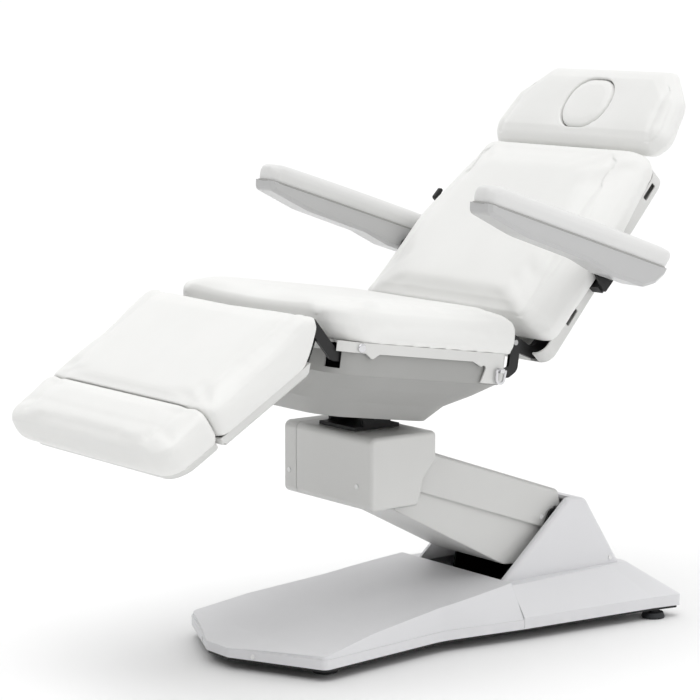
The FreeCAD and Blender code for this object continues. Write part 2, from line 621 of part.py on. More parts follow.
def hinge_pins(label, x_text, z_text):
    pins = [cross_bar(x_text, z_text, "hinge_radius", low, high)
            for low, high in (("-hinge_outer", "-hinge_inner"), ("hinge_inner", "hinge_outer"))]
    finish(group(label, pins), label, seat_frame_at)


hinge_pins("leg_hinge_pins", "leg_hinge_x", "leg_hinge_z")
hinge_pins("back_hinge_pins", "back_hinge_x", "back_hinge_z")

plate_slots = [(low, high) for low, high in (("-288", "-258"), ("258", "288"))]


def cut_slots(host, corners):
    for low, high in plate_slots:
        pocket(host, outline(host, "XZ_Plane", corners, "-(%s + %s) / 2" % (low, high)),
               "%s - (%s)" % (high, low))


def slot_walls(host, x_low, x_high, z_low, z_high):
    cut_slots(host, [(x_low, z_low), (x_high, z_low), (x_high, z_high), (x_low, z_high)])


seat_tray = new_body("seat_tray")
tray_plan = box_plan("tray_front", "tray_rear", "seat_tray_half", "nose_round - 10", "66")
tray_inner = box_plan("tray_front + tray_wall", "tray_rear - tray_wall", "seat_tray_half - tray_wall",
                      "nose_round - 14", "62")
pad(seat_tray, outline(seat_tray, "XY_Plane", tray_plan, "ear_low"), "seat_base - ear_low", "One side")
pocket(seat_tray, outline(seat_tray, "XY_Plane", tray_inner, "ear_low"),
       "(seat_base - ear_low - tray_skin) * 2")
skirt_edge = "seat_base - tray_high"
pocket(seat_tray, outline(seat_tray, "XZ_Plane", [
    ("tray_front - 20", "ear_low - 10"), ("ring_x - 52", "ear_low - 10"),
    ("ring_x - 46", "ear_low + 8", "4"),
    ("ring_x - 34", skirt_edge, "6"), ("ring_x - 52", skirt_edge + " - 10", "5"),
    ("ring_x - 76", skirt_edge, "6"),
    ("-206", skirt_edge, "6"), ("-224", skirt_edge + " - 12", "6"), ("-242", skirt_edge, "6"),
    ("tray_front - 20", skirt_edge)]), "800")
pocket(seat_tray, outline(seat_tray, "XY_Plane", box_plan("ring_x - 60", "tray_rear + 20", "288", "4"),
                          "ear_low - 5"),
       "(seat_base - tray_high - ear_low + 5) * 2")
slot_walls(seat_tray, "tray_front - 20", "tray_rear + 20", skirt_edge + " - 20", "seat_base - tray_skin")
slot_walls(seat_tray, "tray_front - 20", "tray_front + 40", skirt_edge, "seat_base + 10")
finish(seat_tray, "seat_tray", seat_frame_at)

hull = new_body("seat_underbody")
hull_sections = [
    ("hull_foot", "-215", "105", "keel_half", "70"), ("30", "-255", "122", "keel_half + 45", "80"),
    ("62", "-274", "152", "keel_half + 100", "80"), ("tail_z", "-300", "tail_x", "hull_half - 4", "80")]
loft(hull, [outline(hull, "XY_Plane", box_plan(low, high, half, radius), level)
            for level, low, high, half, radius in hull_sections], True)
pad(hull, outline(hull, "XY_Plane", box_plan("-312", "170", "hull_half", "60"), "tail_z - 1"),
    frame_top + " - tail_z + 1", "One side")
hull_hollows = [
    ("hull_foot + col_wall", "-200", "92", "keel_half - 10", "50"),
    ("34", "-244", "110", "keel_half + 35", "50"),
    ("66", "-264", "140", "keel_half + 90", "50"),
    ("tail_z + col_wall", "-308", "166", "hull_half - col_wall", "56")]
for level, low, high, half, radius in hull_hollows:
    pocket(hull, outline(hull, "XY_Plane", box_plan(low, high, half, radius), frame_top),
           "(%s - (%s)) * 2" % (frame_top, level))
pocket(hull, outline(hull, "XY_Plane", box_plan("-100", "92", "90", "16"), "hull_foot"), "60")
slot_walls(hull, "-340", "200", frame_foot + " - 12", "seat_base + 10")
finish(hull, "seat_underbody", seat_frame_at)


# An upholstered block: plan outlines stacked from the drawn-in foot past the full middle to the crown.
def cushion(label, sections, frame, slot=()):
    host = new_body(label)
    loft(host, [outline(host, "XY_Plane", plan, level, angle) for level, plan, angle in sections], True)
    if slot:
        cut_slots(host, slot)
    finish(host, label, frame)
    return host


def seat_plan(front, rear, side):
    return box_plan("seat_nose + " + front, "seat_rear - " + rear, "seat_half - " + side, "nose_round",
                    "26")


cushion("seat_cushion", [
    ("seat_base", seat_plan("44", "10", "8"), 0), ("seat_base + 12", seat_plan("24", "3", "2"), 0),
    ("seat_base + 30", seat_plan("5", "0", "0"), 0), ("seat_base + 54", seat_plan("0", "0", "0"), 0),
    ("seat_base + 68", seat_plan("5", "6", "7"), 0), ("seat_base + 78", seat_plan("22", "22", "24"), 0),
    ("seat_base + 85", seat_plan("66", "62", "70"), 0)], seat_frame_at,
    [("back_hinge_x - 17", "seat_base - 5"), ("back_hinge_x + 10", "seat_base - 5"),
     ("back_hinge_x + 10", "back_hinge_z + 17"), ("back_hinge_x - 17", "back_hinge_z + 17")])

caps = [cross_bar("-256", "seat_base - 11", "10", low, high)
        for low, high in (("-seat_tray_half - 4", "-seat_tray_half"),
                          ("seat_tray_half", "seat_tray_half + 4"))]
finish(group("side_caps", caps), "side_caps", seat_frame_at)


# Pull rings: a D hanging by its round top bar from a small keeper on each side of the tray.
ring_y = "seat_tray_half + 6"


def pull_ring(side_name, sign):
    loop = new_body("ring_loop_" + side_name)

    def d_outline(inset, radius):
        return outline(loop, "XZ_Plane", [
            ("ring_x - ring_half + " + inset, "ring_z"), ("ring_x + ring_half - " + inset, "ring_z"),
            ("ring_x + ring_half - 3 - " + inset, "ring_z - ring_drop + " + inset, radius),
            ("ring_x - ring_half + 3 + " + inset, "ring_z - ring_drop + " + inset, radius)],
            "-(%s(%s))" % (sign, ring_y))

    pad(loop, d_outline("0", "12"), "ring_wire * 2")
    pocket(loop, d_outline("ring_wire * 2", "7"), "ring_wire * 3")
    bar = long_bar("ring_x - ring_half", "ring_x + ring_half", "%s(%s)" % (sign, ring_y), "ring_z",
                   "ring_wire")
    finish(fused([loop, bar]), "pull_ring_" + side_name, seat_frame_at)


pull_ring("right", "-")
pull_ring("left", "")
keepers = []
for low, high in (("-(seat_tray_half + 12)", "-seat_tray_half"),
                  ("seat_tray_half", "seat_tray_half + 12")):
    middle = "(%s + %s) / 2" % (low, high)
    keepers.append(less(block("ring_x - 6", "ring_x + 6", low, high, "ring_z - 5", "ring_z + 5"),
                        long_bar("ring_x - 8", "ring_x + 8", middle, "ring_z", "ring_wire + run_gap")))
finish(group("ring_keepers", keepers), "ring_keepers", seat_frame_at)


# Leg section with its pull-out foot piece

def leg_plan(front, rear, side):
    return box_plan("leg_split + " + front, rear, "seat_half - " + side, "24", "24")


def foot_plan(front, rear, side):
    return box_plan("foot_end + " + front, "leg_split - leg_gap - " + rear, "seat_half - " + side,
                    "50 - 0.55 * " + front, "22 - 0.4 * " + rear)


cushion("leg_cushion", [
    ("leg_base", leg_plan("5", "-56", "10"), 0), ("leg_base + 14", leg_plan("1", "-40", "3"), 0),
    ("leg_base + 30", leg_plan("0", "-18", "0"), 0), ("leg_base + 48", leg_plan("0", "8", "0"), -0.4),
    ("leg_base + 66", leg_plan("0", "15", "2"), -1.2), ("leg_base + 78", leg_plan("7", "4", "10"), -1.8),
    ("leg_base + 86", leg_plan("22", "-6", "30"), -2.2),
    ("leg_base + 92", leg_plan("54", "-46", "78"), -2.4)],
    leg_frame_at,
    [("-17", "13"), ("26", "13"), ("26", "leg_base - 8"), ("-60", "leg_base - 8"),
     ("-60", "leg_base + 6"), ("-17", "-10")])
cushion("foot_cushion", [
    ("leg_base", foot_plan("9", "4", "8"), 0), ("leg_base + 16", foot_plan("2", "0", "1"), 0),
    ("leg_base + 34", foot_plan("0", "0", "0"), 0), ("leg_base + 54", foot_plan("1", "0", "1"), -0.3),
    ("leg_base + 67", foot_plan("4", "2", "6"), -0.6),
    ("leg_base + 76", foot_plan("14", "8", "18"), -0.9),
    ("leg_base + 84", foot_plan("50", "30", "66"), -1)], leg_frame_at)


# An open tray with a side outline, walls all round and its floor beneath.
def open_tray(label, corners, half, hollow, hollow_half):
    host = new_body(label)
    pad(host, outline(host, "XZ_Plane", corners), "(%s) * 2" % half)
    bevel_edges(host, "7", lambda edge: abs(abs(edge.CenterOfMass.y) - value(half)) < 0.01
                and edge.CenterOfMass.z < value("leg_tray_foot") + 4)
    pocket(host, outline(host, "XZ_Plane", hollow), "(%s) * 2" % hollow_half)
    return host


tray_floor = "leg_tray_foot + tray_wall"
leg_tray = open_tray("leg_tray", [
    ("leg_split", "leg_base"), ("leg_split", "leg_tray_foot + 6"), ("leg_split + 8", "leg_tray_foot"),
    ("-72", "leg_tray_foot"), ("-52", "leg_base")], "seat_half - 14", [
    ("leg_split + tray_wall", "leg_base + 10"), ("leg_split + tray_wall", tray_floor),
    ("-74", tray_floor),
    ("-57", "leg_base + 10")], "seat_half - 18")
slot_walls(leg_tray, "-90", "-40", tray_floor, "leg_base + 10")
for rod_at in ("-rod_y", "rod_y"):
    pocket(leg_tray, circle(leg_tray, "YZ_Plane", rod_at, "leg_base - 11", "rod_radius + 2",
                            "leg_split"), "20")
finish(leg_tray, "leg_tray", leg_frame_at)

leg_rails = [box_tube("leg_split + 14", "-84", low, high, tray_floor, "leg_base")
             for low, high in (("-230", "-200"), ("200", "230"))]
leg_ties = [less(block(low, high, "-200", "200", tray_floor, "leg_base"),
                 fused([long_bar(low + " - 5", high + " + 5", rod_at, "leg_base - 11",
                                 "rod_radius + run_gap")
                        for rod_at in ("-rod_y", "rod_y")])) for low,
                        high in (("leg_split + 14", "leg_split + 40"),
                                                                               ("-180", "-154"))]
leg_tie_rear = [block("-110", "-84", "-200", "200", tray_floor, "leg_base")]
leg_arms = both_cheeks("leg_arm", [
    ("-9", "8", "7"), ("9", "8", "7"), ("9", "-34", "20"), ("-52", tray_floor, "30"),
    ("-120", tray_floor),
    ("-120", "leg_base - 1"), ("-52", "leg_base - 1", "6"), ("-9", "-30", "10")],
    "hinge_inner", "hinge_middle", [("0", "0", "hinge_radius + run_gap")])
leg_links = [block("-120", "-94", low, high, tray_floor, "leg_base")
             for low, high in (("-hinge_inner", "-230"), ("230", "hinge_inner"))]
finish(group("leg_frame", leg_rails + leg_ties + leg_tie_rear + leg_arms + leg_links), "leg_frame",
       leg_frame_at)

foot_back = "leg_split - leg_gap"
foot_tray = new_body("foot_tray")
pad(foot_tray, outline(foot_tray, "XY_Plane",
                       box_plan("foot_end + 22", foot_back, "seat_half - 26", "52", "8"),
                       "(leg_tray_foot + leg_base) / 2"), "leg_base - leg_tray_foot")
bevel_edges(foot_tray, "4", lambda edge: abs(edge.CenterOfMass.z - value("leg_tray_foot")) < 0.01)
pocket(foot_tray, outline(foot_tray, "XY_Plane", box_plan(
    "foot_end + 22 + tray_wall", foot_back + " - tray_wall", "seat_half - 26 - tray_wall", "48", "4"),
    "leg_base"), "(leg_base - (%s)) * 2" % tray_floor)
for rod_at in ("-rod_y", "rod_y"):
    pocket(foot_tray, circle(foot_tray, "YZ_Plane", rod_at, "leg_base - 11", "rod_radius", foot_back),
           "20")
finish(foot_tray, "foot_tray", leg_frame_at)
rods = [long_bar("foot_end + 30", "-120", rod_at, "leg_base - 11", "rod_radius")
        for rod_at in ("-rod_y", "rod_y")]
rod_ties = [block("foot_end + 40", "foot_end + 70", low, high, tray_floor, "leg_base")
            for low, high in (("-260", "-rod_y - rod_radius"),
                              ("-rod_y + rod_radius", "rod_y - rod_radius"),
                              ("rod_y + rod_radius", "260"))]
finish(group("foot_rods", rods + rod_ties), "foot_rods", leg_frame_at)


# Back section: frame, moulded shell, cushion

def back_plan(end, side, low_radius, top_radius):
    half = [("back_start + " + end, "-(back_low_half - %s)" % side, low_radius),
            ("back_mid", "-(back_mid_half - %s)" % side, "200"),
            ("back_end - " + end, "-(back_top_half - %s)" % side, top_radius)]
    return mirrored(half)


def box_taper(x_low, x_high, half_low, half_high, radius_low, radius_high):
    return [(x_low, "-(%s)" % half_low, radius_low), (x_high, "-(%s)" % half_high, radius_high),
            (x_high, half_high, radius_high), (x_low, half_low, radius_low)]


cushion("back_cushion", [
    ("back_base", back_plan("8", "8", "26", "42"), 0),
    ("back_base + 16", back_plan("1", "1", "33", "48"), 0),
    ("back_base + 34", back_plan("0", "0", "34", "48"), 0.2),
    ("back_base + 54", back_plan("6", "13", "34", "46"), 0.5),
    ("back_base + 74", back_plan("16", "33", "32", "44"), 0.9),
    ("back_base + 89", back_plan("34", "56", "28", "36"), 1.2),
    ("back_base + 98", back_plan("76", "96", "20", "28"), 1.4)], back_frame_at)


def shell_plan(inset, low_radius, top_radius):
    return box_taper("shell_start + " + inset, "back_end - 5 - " + inset, "shell_low_half - " + inset,
                     "shell_top_half - " + inset, low_radius, top_radius)


shell = new_body("back_shell")
pad(shell, outline(shell, "XY_Plane", shell_plan("0", "30", "42"), "(shell_foot + back_base) / 2"),
    "back_base - shell_foot")
bevel_edges(shell, "5", lambda edge: abs(edge.CenterOfMass.z - value("shell_foot")) < 0.01)
pocket(shell, outline(shell, "XY_Plane", shell_plan("4", "26", "38"), "back_base"),
       "(back_base - shell_foot - 4) * 2")
slot_walls(shell, "shell_start - 10", "back_start + 60", "shell_foot + 4", "back_base + 5")
for rod_at in ("-head_rod_y", "head_rod_y"):
    pocket(shell, circle(shell, "YZ_Plane", rod_at, "head_rod_z", "head_rod_radius + 2", "back_end"),
           "30")
for recess_x in ("130", "back_end - 65"):
    pocket(shell, outline(shell, "XZ_Plane", [
        (recess_x + " - 22", "back_base - 20", "3"), (recess_x + " + 22", "back_base - 20", "3"),
        (recess_x + " + 22", "back_base - 7", "3"), (recess_x + " - 22", "back_base - 7", "3")]), "700")
finish(shell, "back_shell", back_frame_at)

steel_foot = "shell_foot + 4"
back_rails = [box_tube("100", "back_end - 40", low, high, steel_foot, "back_base")
              for low, high in (("-215", "-190"), ("190", "215"))]
low_tie = [box_tube("74", "100", "-hinge_inner", "hinge_inner", steel_foot, "back_base")]


def bored_tie(low, high):
    bores = [long_bar(low + " - 5", high + " + 5", rod_at, "head_rod_z", "head_rod_radius + run_gap")
             for rod_at in ("-head_rod_y", "head_rod_y")]
    return less(block(low, high, "-190", "190", steel_foot, "back_base"), fused(bores))


back_arms = both_cheeks("back_arm", [
    ("-13", "-13", "12"), ("-13", "13", "12"), ("14", "13", "12"), ("26", "back_base - 2", "16"),
    ("100", "back_base - 2"), ("100", steel_foot), ("14", steel_foot, "24")],
    "hinge_inner", "hinge_middle", [("0", "0", "hinge_radius + run_gap")])
finish(group("back_frame", back_rails + low_tie + [
    bored_tie("back_end - 160", "back_end - 134"), bored_tie("back_end - 66", "back_end - 40")]
    + back_arms),
       "back_frame", back_frame_at)

shell_slope = "(shell_low_half - shell_top_half) / (back_end - 5 - shell_start)"
wall_y = "(shell_low_half - " + shell_slope + " * (%s - shell_start))"


# A flat foot on the side of the shell, reaching out to a plate that stands clear of the cushion.
def side_foot(label, sign, x_low, x_high, outer):
    foot = new_body(label)
    pad(foot, outline(foot, "XY_Plane", [
        (x_low, sign + wall_y % x_low), (x_high, sign + wall_y % x_high), (x_high, sign + outer),
        (x_low, sign + outer)], "back_base - 26"), "20", "One side")
    return foot


def on_side(sign, inner, outer):
    return ("-(%s)" % outer, "-(%s)" % inner) if sign == "-" else (inner, outer)


# Carrier for an arm rest: a foot, a cheek beside the cushion and a washer round the pin.
def arm_mount(side_name, sign):
    foot_low, foot_high = "(rest_pivot_x - 30)", "(rest_pivot_x + 40)"
    foot = side_foot("mount_foot_" + side_name, sign, foot_low, foot_high, "mount_inner")
    inner, outer = on_side(sign, "mount_inner", "mount_inner + mount_thick")
    plate_body = cheek("mount_cheek_" + side_name, [
        (foot_low, "back_base - 26", "6"), (foot_high, "back_base - 26", "6"),
        (foot_high, "back_base - 8", "6"),
        ("rest_pivot_x + hub_radius", "rest_pivot_z + hub_radius", "14"),
        ("rest_pivot_x - hub_radius", "rest_pivot_z + hub_radius", "14")], inner, outer,
        [("rest_pivot_x", "rest_pivot_z", "rest_pin")])
    near, far = on_side(sign, "mount_inner + mount_thick", "rest_middle - rest_half - 1")
    washer = less(cross_bar("rest_pivot_x", "rest_pivot_z", "hub_radius", near, far),
                  cross_bar("rest_pivot_x", "rest_pivot_z", "rest_pin", near + " - 5", far + " + 5"))
    return [foot, plate_body, washer]


finish(group("arm_mounts", arm_mount("right", "-") + arm_mount("left", "")), "arm_mounts", back_frame_at)
rest_pins = [cross_bar("rest_pivot_x", "rest_pivot_z", "rest_pin", low, high)
             for low, high in (on_side("-", "mount_inner", "rest_middle + 20"),
                               on_side("", "mount_inner", "rest_middle + 20"))]
finish(group("arm_pins", rest_pins), "arm_pins", back_frame_at)

hook_low, hook_mid, hook_high = "(back_end - 188)", "(back_end - 178)", "(back_end - 156)"
hook = cheek("hook_plate", [
    (hook_low, "-76"), (hook_low, "-4", "5"), (hook_high, "-4", "5"), (hook_high, "-14", "4"),
    (hook_mid, "-16", "4"),
    (hook_mid, "-64", "4"), (hook_high, "-66", "4"), (hook_high, "-76", "5")], "327", "335")
hook_foot = side_foot("hook_foot", "", hook_low, hook_mid, "327")
finish(fused([hook, hook_foot]), "handset_hook", back_frame_at)


# Headrest on two rods, with a lift-out plug in its breathing hole

head_bar_x = "back_end + 6"
head_rods = [long_bar("back_end - 175", head_bar_x, rod_at, "head_rod_z", "head_rod_radius")
             for rod_at in ("-head_rod_y", "head_rod_y")]
head_bar = [block(head_bar_x, head_bar_x + " + 14", "-108", "108", "head_hinge_z - 10", "head_rod_z + 8")]
head_ears = both_cheeks("head_ear", [
    (head_bar_x + " + 14", "head_hinge_z - 10"), (head_bar_x + " + 14", "head_hinge_z + 10"),
    ("head_hinge_x + 9", "head_hinge_z + 10", "8"),
    ("head_hinge_x + 9", "head_hinge_z - 10", "8")], "60", "68",
    [("head_hinge_x", "head_hinge_z", "hinge_radius")])
finish(group("head_carrier", head_rods + head_bar + head_ears), "head_carrier", back_frame_at)
head_pins = [cross_bar("head_hinge_x", "head_hinge_z", "hinge_radius", low, high)
             for low, high in (("-68", "-48"), ("48", "68"))]
finish(group("head_hinge_pins", head_pins), "head_hinge_pins", back_frame_at)


def head_plan(inset):
    half = [("head_start + " + inset, "-(head_low_half - 34 - 0.414 * %s)" % inset,
             "26 - 0.5 * " + inset),
            ("head_start + 36 + 0.414 * " + inset, "-(head_low_half - %s)" % inset,
             "42 - 0.6 * " + inset),
            ("head_end - 84 - 0.3 * " + inset, "-(head_low_half - 20 - %s)" % inset,
             "42 - 0.6 * " + inset),
            ("head_end - " + inset, "-(head_top_half - 0.7 * %s)" % inset, "32 - 0.4 * " + inset)]
    return mirrored(half)


plug_plan = box_plan("plug_x - plug_half_x", "plug_x + plug_half_x", "plug_half_y", "plug_half_x - 6")
head = cushion("head_cushion", [
    ("head_base + " + rise, head_plan(inset), 0) for rise, inset in (
        ("0", "14"), ("12", "4"), ("24", "0"), ("38", "8"), ("50", "24"), ("head_thick", "44"))],
        head_frame_at)
pocket(head, outline(head, "XY_Plane", plug_plan, "head_base"), "300")

board = new_body("head_board")
pad(board, outline(board, "XY_Plane", mirrored([
    ("-8", "-190", "20"), ("100", "-190", "40"), ("170", "-120", "30")]),
    "head_base - board_thick / 2"), "board_thick")
pocket(board, outline(board, "XY_Plane", plug_plan, "head_base"), "60")
knuckles = both_cheeks("head_knuckle", [
    ("-9", "-9", "8"), ("-9", "head_base - board_thick"), ("60", "head_base - board_thick"),
    ("9", "-9", "8")],
    "48", "58", [("0", "0", "hinge_radius + run_gap")])
finish(group("head_board", [board] + knuckles), "head_board", head_frame_at)

plug = new_body("head_plug")
loft(plug, [outline(plug, "XY_Plane", box_plan(
    "plug_x - plug_half_x + plug_gap + " + inset, "plug_x + plug_half_x - plug_gap - " + inset,
    "plug_half_y - plug_gap - " + inset, "plug_half_x - plug_gap - 6 - " + inset), "head_base + " + rise)
    for rise, inset in (("-10", "2"), ("14", "0"), ("50", "0"), ("58", "5"), ("62", "20"))], True)
finish(plug, "head_plug", head_frame_at)


# Arm rests: padded top on a moulded shell

def arm_rest(side_name, side):
    shell_body = new_body("arm_shell_" + side_name)
    pad(shell_body, outline(shell_body, "XZ_Plane", [
        ("rest_front + 4", "rest_seam"), ("rest_front + 10", "rest_seam - 22", "14"),
        ("-300", "rest_seam - 40", "200"),
        ("-120", "rest_seam - 43", "80"), ("-40", "-14", "30"), ("64", "-14", "30"), ("98", "4", "24"),
        ("rest_rear - 16", "rest_seam - 14", "10"), ("rest_rear - 12", "rest_seam")]),
        "(rest_half - 2) * 2")
    bevel_edges(shell_body, "8",
                lambda edge: abs(abs(edge.CenterOfMass.y) - value("rest_half - 2")) < 0.01
                and edge.CenterOfMass.z < value("rest_seam") - 3)
    inner = "%d * (rest_half - 2)" % side
    pocket(shell_body, circle(shell_body, "XZ_Plane", "0", "0", "rest_pin + run_gap", inner),
           "rest_half * 2 + 44")
    finish(shell_body, "arm_shell_" + side_name, rest_frame(side))

    def pad_plan(front, rear, inset):
        return box_plan("rest_front + " + front, "rest_rear - " + rear, "rest_half - " + inset,
                        "30 - " + inset)

    cushion("arm_pad_" + side_name, [
        ("rest_seam", pad_plan("6", "12", "4"), 0), ("rest_seam + 10", pad_plan("1", "5", "1"), 0),
        ("rest_seam + 24", pad_plan("0", "1", "0"), 0), ("rest_seam + 34", pad_plan("2", "0", "3"), 0),
        ("rest_seam + 41", pad_plan("9", "4", "9"), 0),
        ("rest_seam + rest_thick", pad_plan("34", "24", "22"), 0)],
        rest_frame(side))


arm_rest("right", -1)
arm_rest("left", 1)


# Build, check and write

doc.recompute()
for item in doc.Objects:
    if "Invalid" in item.State or "Error" in item.State:
        raise ValueError("%s is not sound: %s" % (item.Label, item.State))
os.makedirs("parts", exist_ok=True)
for item, label, frame in nodes:
    item.Placement = frame
    if item.Shape.isNull() or not item.Shape.isValid():
        raise ValueError("%s has no valid shape" % label)
    item.Shape.exportStep("parts/%s.step" % label)
    box = item.Shape.BoundBox
    print("%-18s solids %d  x %.0f..%.0f  y %.0f..%.0f  z %.0f..%.0f" % (
        label, len(item.Shape.Solids), box.XMin, box.XMax, box.YMin, box.YMax, box.ZMin, box.ZMax))
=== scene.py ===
import bpy
import json
import math
from mathutils import Matrix, Vector

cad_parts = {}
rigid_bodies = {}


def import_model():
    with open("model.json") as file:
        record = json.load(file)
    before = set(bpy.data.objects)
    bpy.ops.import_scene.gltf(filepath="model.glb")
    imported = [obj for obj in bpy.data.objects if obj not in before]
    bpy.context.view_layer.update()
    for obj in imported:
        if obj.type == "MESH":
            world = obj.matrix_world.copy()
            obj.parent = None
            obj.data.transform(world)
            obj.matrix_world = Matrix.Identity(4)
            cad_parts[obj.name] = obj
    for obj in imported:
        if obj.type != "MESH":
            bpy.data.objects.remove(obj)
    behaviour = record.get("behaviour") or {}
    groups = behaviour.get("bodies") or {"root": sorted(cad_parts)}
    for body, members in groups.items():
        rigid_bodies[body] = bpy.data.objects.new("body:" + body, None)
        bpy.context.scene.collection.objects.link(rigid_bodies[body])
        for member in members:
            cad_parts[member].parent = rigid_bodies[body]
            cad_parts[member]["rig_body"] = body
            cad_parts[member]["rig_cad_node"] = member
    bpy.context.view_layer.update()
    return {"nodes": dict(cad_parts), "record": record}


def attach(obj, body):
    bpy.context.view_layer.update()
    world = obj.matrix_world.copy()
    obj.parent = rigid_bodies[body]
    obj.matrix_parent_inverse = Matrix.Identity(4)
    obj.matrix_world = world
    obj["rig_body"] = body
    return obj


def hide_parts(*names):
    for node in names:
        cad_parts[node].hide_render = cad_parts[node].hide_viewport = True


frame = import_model()
nodes = frame["nodes"]
joints = {joint["name"]: joint for joint in frame["record"]["behaviour"]["joints"]}
mergeGap = 0.00005  # points of a copied node closer than this are one
print("stage: frame loaded,", len(nodes), "nodes")


# small helpers used all over

def deselectAll():
    if bpy.context.object and bpy.context.object.mode != "OBJECT":
        bpy.ops.object.mode_set(mode="OBJECT")
    bpy.ops.object.select_all(action="DESELECT")


def pick(piece):
    deselectAll()
    piece.select_set(True)
    bpy.context.view_layer.objects.active = piece


def editAll(piece):
    pick(piece)
    bpy.ops.object.mode_set(mode="EDIT")
    bpy.ops.mesh.select_all(action="SELECT")


def selectFaces(piece, wanted):
    bpy.ops.mesh.select_all(action="DESELECT")
    bpy.ops.object.mode_set(mode="OBJECT")
    for face in piece.data.polygons:
        face.select = wanted(face)
    bpy.ops.object.mode_set(mode="EDIT")
    bpy.ops.mesh.select_mode(type="FACE")


def applied(piece, kind, name, **settings):
    pick(piece)
    modifier = piece.modifiers.new(name, kind)
    for key, setting in settings.items():
        setattr(modifier, key, setting)
    bpy.ops.object.modifier_apply(modifier=name)


def copyOfNode(name, newName):
    piece = nodes[name].copy()
    piece.data = nodes[name].data.copy()
    piece.name = newName
    piece.parent = None
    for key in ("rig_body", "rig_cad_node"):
        if key in piece:
            del piece[key]
    bpy.context.scene.collection.objects.link(piece)
    editAll(piece)
    bpy.ops.mesh.remove_doubles(threshold=mergeGap)
    bpy.ops.object.mode_set(mode="OBJECT")
    return piece


def hexColour(code):
    channels = [int(code[i:i + 2], 16) / 255 for i in (1, 3, 5)]
    linear = [c / 12.92 if c <= 0.04045 else ((c + 0.055) / 1.055) ** 2.4 for c in channels]
    return (*linear, 1.0)


def node(tree, kind, settings=None, links=None):
    made = tree.nodes.new(kind)
    for name, setting in (settings or {}).items():
        if name in made.inputs:
            made.inputs[name].default_value = setting
        else:
            setattr(made, name, setting)
    for name, (source, output) in (links or {}).items():
        tree.links.new(source.outputs[output], made.inputs[name])
    return made


def newMaterial(name):
    mat = bpy.data.materials.new(name)
    mat.use_nodes = True
    mat.node_tree.nodes.clear()
    return mat, mat.node_tree


def paint(piece, mat):
    piece.data.materials.clear()
    piece.data.materials.append(mat)


# camera at the photograph's angle

view = {"azimuth": -37.22, "elevation": 8.29, "target": (-0.0535, 0.0, 0.651), "distance": 5.763,
        "focalPixels": 2589.9, "imagePixels": 700, "centreRight": 1.22, "centreDown": 4.95,
        "sensorMm": 36, "farLimit": 1000}


def makeCamera(s):
    around, up = math.radians(s["azimuth"]), math.radians(s["elevation"])
    back = Vector((math.sin(around) * math.cos(up), -math.cos(around) * math.cos(up), math.sin(up)))
    data = bpy.data.cameras.new("camera")
    data.sensor_width = s["sensorMm"]
    data.lens = s["focalPixels"] / s["imagePixels"] * data.sensor_width
    data.shift_x = -s["centreRight"] / s["imagePixels"]
    data.shift_y = s["centreDown"] / s["imagePixels"]
    data.clip_end = s["farLimit"]
    cam = bpy.data.objects.new("camera", data)
    bpy.context.scene.collection.objects.link(cam)
    cam.location = Vector(s["target"]) + back * s["distance"]
    cam.rotation_mode = "QUATERNION"
    cam.rotation_quaternion = (-back).to_track_quat("-Z", "Y")
    bpy.context.scene.camera = cam


makeCamera(view)
bpy.context.scene.view_settings.view_transform = "Standard"


# pale floor and soft studio light: a white room, brighter by the head, a high soft sun, a softbox each side

studio = {"floorSize": 600, "floorDrop": 0.0005, "floorHex": "#F7F7F7",
          "footHex": "#929292", "headHex": "#FFFFFF", "skyStrength": 0.9,
          "sunStrength": 1.46, "sunSpread": 60, "sunFrom": (-0.33, -0.06, 1.0), "aimHeight": 0.6}
softboxes = [
    {"name": "nearSide", "size": 3.0, "watts": 8, "place": (0.6, -4.4, 2.4)},
    {"name": "farSide", "size": 3.0, "watts": 14, "place": (0.4, 4.4, 3.0)},
]


def aimAt(lamp, toward):
    lamp.rotation_mode = "QUATERNION"
    lamp.rotation_quaternion = toward.to_track_quat("-Z", "Y")


